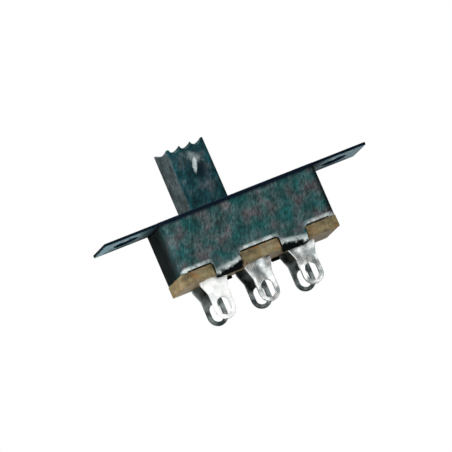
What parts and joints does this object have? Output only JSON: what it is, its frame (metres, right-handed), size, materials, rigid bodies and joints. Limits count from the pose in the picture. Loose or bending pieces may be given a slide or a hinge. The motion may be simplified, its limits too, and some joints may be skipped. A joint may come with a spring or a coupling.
{
  "type": "slide switch",
  "caption": "Panel-mounted slide switch: folded steel can with screw ears, sliding knob with a grooved top, and solder lugs under a phenolic board.",
  "frame": {"origin": "middle of the flange's upper face, midway between the two mounting holes", "axes": "+X along the flange and the slide, +Z out through the panel on the knob's side, -Y towards the near row of lugs"},
  "size_m": [0.0238, 0.0054, 0.015],
  "materials": {
    "frame_steel": "dark satin plating on folded steel sheet",
    "slider_plastic": "moulded, slightly glossy",
    "phenolic_board": "punched paper-phenolic laminate",
    "plated_brass": "bright silver plating on brass strip",
    "contact_bronze": "rolled bronze strip",
    "spring_steel": "drawn wire"
  },
  "bodies": {
    "case": {"frame": "frame_steel", "terminal_board": "phenolic_board", "terminal_front_left": "plated_brass", "terminal_front_common": "plated_brass", "terminal_front_right": "plated_brass", "terminal_rear_left": "plated_brass", "terminal_rear_common": "plated_brass", "terminal_rear_right": "plated_brass"},
    "slide": {"slider": "slider_plastic", "contact_front": "contact_bronze", "contact_rear": "contact_bronze", "spring_front": "spring_steel", "spring_rear": "spring_steel"}
  },
  "joints": [
    {"name": "slider_travel", "type": "slide", "parent": "case", "child": "slide", "axis": [1, 0, 0], "range_m": [0, 0.0045]}
  ]
}
